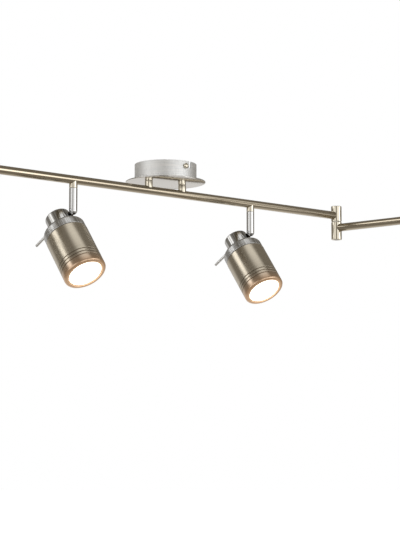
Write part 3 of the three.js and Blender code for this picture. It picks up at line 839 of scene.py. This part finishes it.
def post():
    """A polished post: stud, shank saddled over the tube, and spigot, bored for the wire."""
    shank_bottom = TUBE_Z + 3.5
    shank_top = PLATE_BOTTOM - GAP
    shank = turned([
        (0, shank_bottom, 0),
        (POST_RADIUS, shank_bottom, 0),
        (POST_RADIUS, shank_top, 0.35),
        (0, shank_top, 0),
    ])
    saddle = shift(along_x(rod(TUBE_RADIUS + SNUG, -20, 20, sides=SIDES)), z=TUBE_Z)
    stud = rod(STUD_RADIUS, PLATE_BOTTOM - 2, STUD_TOP, edge=0.4)
    thread = [turned([(STUD_RADIUS - 0.35, z, 0), (STUD_RADIUS + 0.3, z + 0.35, 0),
                      (STUD_RADIUS + 0.3, z - 0.35, 0)], SMALL_SIDES, closed=True)
              for z in (-18.4, -19.6)]
    spigot = rod(SPIGOT_RADIUS, TUBE_Z + 3.6, PLATE_BOTTOM - 2)
    whole = join(cut(shank, saddle), stud, spigot)
    return cut(whole, *thread, rod(2.4, TUBE_Z - 2, -15, sides=24))


def supply_wire():
    half = [
        (0, 11, -20), (8, 12, -19), (15, 15, -16), (23, 13, -11), (30, 5, -9),
        (POST_X, 0, -12.5), (POST_X, 0, -20), (POST_X, 0, -36), (POST_X + 2, 0, -40.4),
        (POST_X + 6, 0, TUBE_Z), (POST_X + 12, 0, TUBE_Z), (HINGE_X - 12, 0, TUBE_Z),
    ]
    mirrored = [(-x, y, z) for x, y, z in reversed(half[1:])]
    return sweep(smooth_path([*mirrored, *half]), 1.1)


# ---------------------------------------------------------------- tubes and hinges

TUBE_RADIUS = 6.35
TUBE_BORE = 5.35
TUBE_HOLE = 4.0               # radius of the holes in a tube's wall
SPIGOT_RADIUS = 3.6           # of what goes into those holes
TUBE_Z = -42.0
ARM_Z = -62.0
HINGE_X = JOINTS["swing_right"]["pos_m"][0] / MM
TUBE_SETBACK = 4.0
BARREL_RADIUS = 8.5
BARREL_TOP = -26.5
BARREL_BOTTOM = -81.6
SEAM_Z = -52.3
WASHER_HALF = 0.4
HINGE_BORE = 3.3
BOLT_RADIUS = 3.0
BOLT_SEAT = BARREL_BOTTOM + 5
ARM_LENGTH = 330.0


def hollow_tube(start, end):
    """A tube along +X, drawn on the X axis."""
    return along_x(turned([
        (TUBE_BORE, start, 0.2),
        (TUBE_RADIUS, start, 0.25),
        (TUBE_RADIUS, end, 0.25),
        (TUBE_BORE, end, 0.2),
    ], closed=True, steps=3))


def centre_tube():
    end = HINGE_X - TUBE_SETBACK
    holes = [shift(rod(TUBE_HOLE, 0, 10), x=x) for x in (-POST_X, POST_X)]
    holes += [shift(rod(TUBE_HOLE, -10, 0), x=x) for x in (-SPOT_X, SPOT_X)]
    return shift(cut(hollow_tube(-end, end), *holes), z=TUBE_Z)


def upper_barrel():
    bottom = SEAM_Z + WASHER_HALF + GAP
    body = turned([
        (0, bottom, 0),
        (BARREL_RADIUS, bottom, 0.45),
        (BARREL_RADIUS, BARREL_TOP, 0.9),
        (0, BARREL_TOP, 0),
    ])
    socket = along_x(rod(TUBE_RADIUS + SNUG, -12, GAP - TUBE_SETBACK, sides=SIDES))
    return cut(body, shift(socket, z=TUBE_Z), rod(HINGE_BORE, bottom - 1, BARREL_TOP - 5))


def lower_barrel():
    top = SEAM_Z - WASHER_HALF - GAP
    body = turned([
        (0, BARREL_BOTTOM, 0),
        (BARREL_RADIUS, BARREL_BOTTOM, 0.9),
        (BARREL_RADIUS, top, 0.45),
        (0, top, 0),
    ])
    socket = shift(along_x(rod(TUBE_RADIUS + SNUG, TUBE_SETBACK - GAP, 12, sides=SIDES)), z=ARM_Z)
    counterbore = rod(5, BARREL_BOTTOM - 1, BOLT_SEAT + GAP)
    return cut(body, socket, rod(HINGE_BORE, BOLT_SEAT, top + 1), counterbore)


def hinge_washer():
    low, high = SEAM_Z - WASHER_HALF, SEAM_Z + WASHER_HALF
    return turned([
        (HINGE_BORE, low, 0.1),
        (7.6, low, 0.25),
        (7.6, high, 0.25),
        (HINGE_BORE, high, 0.1),
    ], closed=True, steps=3)


def hinge_bolt():
    """A socket-head bolt, head down."""
    head = BOLT_SEAT - 4.4
    tip = BARREL_TOP - 6
    bolt = turned([
        (0, head, 0),
        (4.6, head, 0.5),
        (4.6, BOLT_SEAT, 0.1),
        (BOLT_RADIUS, BOLT_SEAT, 0),
        (BOLT_RADIUS, tip, 0.4),
        (0, tip, 0),
    ], sides=SMALL_SIDES)
    return cut(bolt, slab(regular(2.5, 6), head - 1.6, head + 2.8))


def arm_tube():
    hole = shift(rod(TUBE_HOLE, -10, 0), x=ARM_SPOT)
    return shift(cut(hollow_tube(TUBE_SETBACK, ARM_LENGTH), hole), z=ARM_Z)


def end_cap():
    face = ARM_LENGTH + GAP
    plug = TUBE_BORE - GAP
    cap = turned([
        (0, ARM_LENGTH - 7, 0),
        (plug, ARM_LENGTH - 7, 0.4),
        (plug, face, 0),
        (TUBE_RADIUS, face, 0.15),
        (TUBE_RADIUS, face + 2.5, 1.4),
        (0, face + 2.5, 0),
    ])
    return shift(along_x(cap), z=ARM_Z)


# ---------------------------------------------------------------- spotlight suspension

SPOT_X = JOINTS["pan_inner_right"]["pos_m"][0] / MM
ARM_SPOT = (Vector(JOINTS["pan_outer_right"]["pos_m"][:2])
            - Vector(JOINTS["swing_right"]["pos_m"][:2])).length / MM
STEM_RADIUS = 6.0
PIVOT_DROP = 45.0             # tube axis to pivot, from which the stem and the head are drawn
COLLAR_DROP = 12.0            # tube axis to the collar's lower end
NIPPLE_DROP = 24.0            # tube axis to the nipple's lower end
COLLAR_BOTTOM = PIVOT_DROP - COLLAR_DROP
NIPPLE_BOTTOM = PIVOT_DROP - NIPPLE_DROP
TONGUE_HALF = 4.0             # half the tongue's height, and the radius of its eye
TONGUE_SIDE = 2.0             # half its thickness
FORK_SIDE = 2.3               # half the width of the slots it sits in
PIVOT_HOLE = 2.0
WIRE_HOLE = 2.0


def stem_collar():
    """Drawn from the tube's axis: a saddled collar on a hollow nipple."""
    collar = turned([
        (0, -COLLAR_DROP, 0),
        (STEM_RADIUS, -COLLAR_DROP, 0.3),
        (STEM_RADIUS, -2, 0),
        (0, -2, 0),
    ])
    saddle = along_x(rod(TUBE_RADIUS + SNUG, -20, 20, sides=SIDES))
    nipple = rod(SPIGOT_RADIUS, -NIPPLE_DROP, -3.8, edge=0.3)
    return cut(join(cut(collar, saddle), nipple), rod(2.2, -26, 0, sides=24))


def stem():
    """A polished rod with a ball end, forked for the tongue."""
    ball = [(STEM_RADIUS * math.sin(a), -STEM_RADIUS * math.cos(a))
            for a in (math.radians(6 * k) for k in range(15))]
    top = COLLAR_BOTTOM - GAP
    body = lathe([
        *ball,
        (STEM_RADIUS, 0),
        (STEM_RADIUS, top - 0.3),
        (STEM_RADIUS - 0.3, top),
        (0, top),
    ])
    reach = TONGUE_HALF + 0.4
    fork = [
        along_x(rod(reach, -FORK_SIDE, FORK_SIDE)),
        block((-FORK_SIDE, 0, -10), (FORK_SIDE, 10, reach)),
        block((-FORK_SIDE, -reach, -10), (FORK_SIDE, 10, 0)),
    ]
    holes = [
        along_x(rod(PIVOT_HOLE, -8, 8)),
        along_x(rod(3.0, -8, -4.2)),
        rod(4.0, NIPPLE_BOTTOM - 1, PIVOT_DROP),
        rod(WIRE_HOLE, 10, PIVOT_DROP, sides=24),
    ]
    return cut(body, *fork, *holes)


def pivot_screw():
    """A slotted screw along +X, its low head sunk in the fork's side."""
    screw = turned([
        (0, -6.2, 0),
        (2.6, -5.7, 0.35),
        (2.6, -4.5, 0),
        (1.7, -4.5, 0),
        (1.7, 5.2, 0.3),
        (0, 5.2, 0),
    ], sides=SMALL_SIDES)
    return along_x(cut(screw, block((-3, -0.35, -7), (3, 0.35, -5.4))))


# ---------------------------------------------------------------- spotlight

def onto_lamp_axis(bm):
    """Moves a piece drawn from the rear face, beam along +Z, beside the pivot, beam along -Z."""
    return shift(turn(bm, "X", 180), -HEAD_SIDE, HEAD_BACK, HEAD_UP)


def lever_station(bm):
    """Moves a piece drawn along Z onto the lever's line, square to the lamp axis."""
    turn(along_x(bm), "Z", LEVER_TURN)
    return shift(bm, -HEAD_SIDE, HEAD_BACK, HEAD_UP - LEVER_DEPTH)


def rear_cap():
    lip = SHADE_RADIUS - SHADE_WALL - GAP
    cap = onto_lamp_axis(turned([
        (0, 0, 0),
        (CAP_RADIUS, 0, 1.8),
        (CAP_RADIUS, CAP_STEP, 1.0),
        (RING_RADIUS, CAP_STEP, 4.5),
        (RING_RADIUS, RING_FRONT, 0.7),
        (lip, RING_FRONT, 0),
        (lip, RING_FRONT + 5.8, 0.4),
        (lip - CAP_WALL, RING_FRONT + 5.8, 0.4),
        (lip - CAP_WALL, CAP_STEP + CAP_WALL, 1.5),
        (CAP_RADIUS - CAP_WALL, CAP_STEP + CAP_WALL, 0),
        (CAP_RADIUS - CAP_WALL, CAP_WALL, 1.0),
        (0, CAP_WALL, 0),
    ], sides=2 * SIDES, steps=7))
    high = TONGUE_HALF + GAP
    mortise = block((-FORK_SIDE, 4, -high), (FORK_SIDE, HEAD_BACK - 9, high))
    return cut(cap, mortise, lever_station(rod(1.8, 12, 22, sides=24)))


def tongue():
    """The flat link between the stem's fork and the rear cap, drawn from the pivot."""
    eye = along_x(rod(TONGUE_HALF, -TONGUE_SIDE, TONGUE_SIDE, edge=0.3))
    blade = block((-TONGUE_SIDE, 0, -TONGUE_HALF), (TONGUE_SIDE, HEAD_BACK - 11, TONGUE_HALF),
                  edge=0.3)
    return cut(join(eye, blade), along_x(rod(PIVOT_HOLE, -5, 5)))


def aiming_lever():
    """A thin rod screwed into the rear cap, with a collar that rests on it."""
    rest = CAP_RADIUS + GAP
    lever = turned([
        (0, 14, 0),
        (1.5, 14, 0.3),
        (1.5, rest, 0),
        (2.9, rest, 0.3),
        (2.9, rest + 1.6, 0.4),
        (2.0, rest + 1.9, 0),
        (2.0, LEVER_TIP, 0.5),
        (0, LEVER_TIP, 0),
    ], sides=SMALL_SIDES)
    return lever_station(lever)


def shade():
    """A thin tube with grooves near its front, where it rolls in to a smaller mouth."""
    outer = [(SHADE_RADIUS, SHADE_REAR, 1.1)]
    for distance in sorted(GROOVES, reverse=True):
        z = SHADE_FRONT - distance
        outer += [
            (SHADE_RADIUS, z - 0.9, 0.15),
            (SHADE_RADIUS - GROOVE_DEPTH, z - 0.4, 0.12),
            (SHADE_RADIUS - GROOVE_DEPTH, z + 0.4, 0.12),
            (SHADE_RADIUS, z + 0.9, 0.15),
        ]
    inner = SHADE_RADIUS - SHADE_WALL
    return onto_lamp_axis(turned([
        (inner, SHADE_REAR, 0.2),
        *outer,
        (SHADE_RADIUS, SHADE_FRONT, 3.6),
        (SHADE_MOUTH, SHADE_FRONT, 0.5),
        (SHADE_MOUTH, SHADE_FRONT - SHADE_WALL, 0.3),
        (inner, SHADE_FRONT - SHADE_WALL, 2.4),
    ], sides=2 * SIDES, closed=True, steps=6))


def lampholder():
    """A ceramic holder on a flange, with two pin holes in its face and two grooves round it."""
    flange = CAP_STEP + CAP_WALL + GAP
    front = LAMP_REAR - GAP
    body = turned([
        (0, flange, 0),
        (26, flange, 0.3),
        (26, flange + 1.5, 0.3),
        (HOLDER_RADIUS, flange + 1.5, 0.8),
        (HOLDER_RADIUS, front, 1.0),
        (0, front, 0),
    ])
    holes = [shift(rod(2.3, LAMP_REAR - 8, LAMP_REAR + 1, sides=24), x=x) for x in (-PIN_X, PIN_X)]
    rings = [turned([(13, z - 0.6, 0), (14.5, z - 0.6, 0), (14.5, z + 0.6, 0), (13, z + 0.6, 0)],
                    closed=True) for z in (40, 45)]
    return onto_lamp_axis(cut(body, *holes, *rings))


def lamp_reflector():
    """The lamp's body: a reflector flaring from its base to the glass, with two headed pins."""
    flare = [(LAMP_BASE + (LAMP_RADIUS - LAMP_BASE) * (k / 8) ** 0.7, LAMP_REAR + 10 + 33 * k / 8)
             for k in range(9)]
    seat = LAMP_FACE - 1.9
    bulb = lathe([
        (0, LAMP_REAR),
        (11.8, LAMP_REAR),
        (12.5, LAMP_REAR + 0.7),
        *flare,
        (LAMP_RADIUS, seat),
        (0, seat),
    ])
    pins = []
    for x in (-PIN_X, PIN_X):
        pins.append(shift(turned([
            (0, LAMP_REAR - 7, 0),
            (2.0, LAMP_REAR - 7, 0.3),
            (2.0, LAMP_REAR - 4.6, 0.2),
            (1.4, LAMP_REAR - 4.6, 0),
            (1.4, LAMP_REAR + 1, 0),
            (0, LAMP_REAR + 1, 0),
        ], sides=24, steps=3), x=x))
    return onto_lamp_axis(join(bulb, *pins))


def lamp_face():
    """The lit glass: a shallow lens with a rounded rim."""
    dome = [(LAMP_RADIUS - 1.4 - k, LAMP_FACE - 0.25 + 0.25 * math.sin(k / 22 * math.pi / 2))
            for k in range(0, 23, 2)]
    return onto_lamp_axis(lathe([
        (0, LAMP_FACE - 1.7), (LAMP_RADIUS, LAMP_FACE - 1.7), (LAMP_RADIUS, LAMP_FACE - 0.8),
        (LAMP_RADIUS - 0.4, LAMP_FACE - 0.35), *dome, (0, LAMP_FACE),
    ], 2 * SIDES))


# ---------------------------------------------------------------- assembly


def build_canopy():
    stand_for("canopy_pan", canopy_pan())
    stand_for("canopy_plate", canopy_plate(), material="plate_nickel")
    stand_for("canopy_screw_front", side_screw(), at(0, 0, 0, -90))
    stand_for("canopy_screw_back", side_screw(), at(0, 0, 0, 90))
    stand_for("ceiling_bracket", ceiling_bracket())
    stand_for("terminal_block", terminal_block())
    stand_for("supply_wire", supply_wire())
    piece("earth_screw", earth_screw(), "root", "zinc_steel", material="yellow_brass")
    for pole, x in enumerate(POLES):
        for side, name in ((-1, "in"), (1, "out")):
            screw = shift(slotted_plug(1.6, -17, BLOCK_TOP - 1), x=x, y=side * POLE_SCREW_Y)
            piece(f"terminal_screw_{name}_{pole}", screw, "root", "zinc_steel",
                  material="yellow_brass")
    for side, x in (("left", -POST_X), ("right", POST_X)):
        stand_for(f"post_{side}", post(), at(x * MM, 0, 0))
        stand_for(f"post_nut_{side}", post_nut(), at(x * MM, 0, 0))


def build_tubes():
    stand_for("centre_tube", centre_tube(), material="tube_brass")
    for side, azimuth in (("left", 180), ("right", 0)):
        swing = JOINTS[f"swing_{side}"]["pos_m"]
        reach = Vector(JOINTS[f"pan_outer_{side}"]["pos_m"]) - Vector(swing)
        arm = at(swing[0], swing[1], 0, math.degrees(math.atan2(reach.y, reach.x)))
        stand_for(f"hinge_upper_{side}", upper_barrel(), at(swing[0], swing[1], 0, azimuth))
        stand_for(f"hinge_lower_{side}", lower_barrel(), arm)
        stand_for(f"hinge_bolt_{side}", hinge_bolt(), arm)
        stand_for(f"hinge_washer_{side}", hinge_washer(), arm)
        stand_for(f"arm_tube_{side}", arm_tube(), arm, material="tube_brass")
        stand_for(f"arm_end_cap_{side}", end_cap(), arm)


def build_spot(name, tube_azimuth):
    tilt = JOINTS[f"tilt_{name}"]
    x, y, z = tilt["pos_m"]
    pan = math.degrees(math.atan2(-tilt["axis"][1], -tilt["axis"][0]))
    hung = at(x, y, z, pan)
    aimed = hung @ Matrix.Rotation(math.radians(tilt["range_deg"][0]), 4, "X")
    stand_for(f"stem_collar_{name}", stem_collar(), at(x, y, z + PIVOT_DROP * MM, tube_azimuth))
    stand_for(f"stem_{name}", stem(), hung)
    stand_for(f"pivot_screw_{name}", pivot_screw(), hung)
    stand_for(f"tongue_{name}", tongue(), aimed)
    stand_for(f"rear_cap_{name}", rear_cap(), aimed, material="cap_chrome")
    stand_for(f"aiming_lever_{name}", aiming_lever(), aimed, material="satin_chrome")
    stand_for(f"shade_{name}", shade(), aimed)
    stand_for(f"lampholder_{name}", lampholder(), aimed)
    stand_for(f"lamp_{name}", lamp_face(), aimed)
    piece(f"lamp_reflector_{name}", lamp_reflector(), BODY_OF[f"lamp_{name}"], "lamp_glass", aimed,
          material="reflector")


add_camera()
add_world()
add_lights()
add_floor()
bpy.context.scene.view_settings.view_transform = "Standard"

build_canopy()
build_tubes()
arm_turn = Vector(JOINTS["pan_outer_right"]["pos_m"][:2]) - Vector(JOINTS["swing_right"]["pos_m"][:2])
arm_azimuth = math.degrees(math.atan2(arm_turn.y, arm_turn.x))
for spot, azimuth in (("inner_left", 0), ("inner_right", 0), ("outer_left", arm_azimuth + 180),
                      ("outer_right", arm_azimuth)):
    build_spot(spot, azimuth)
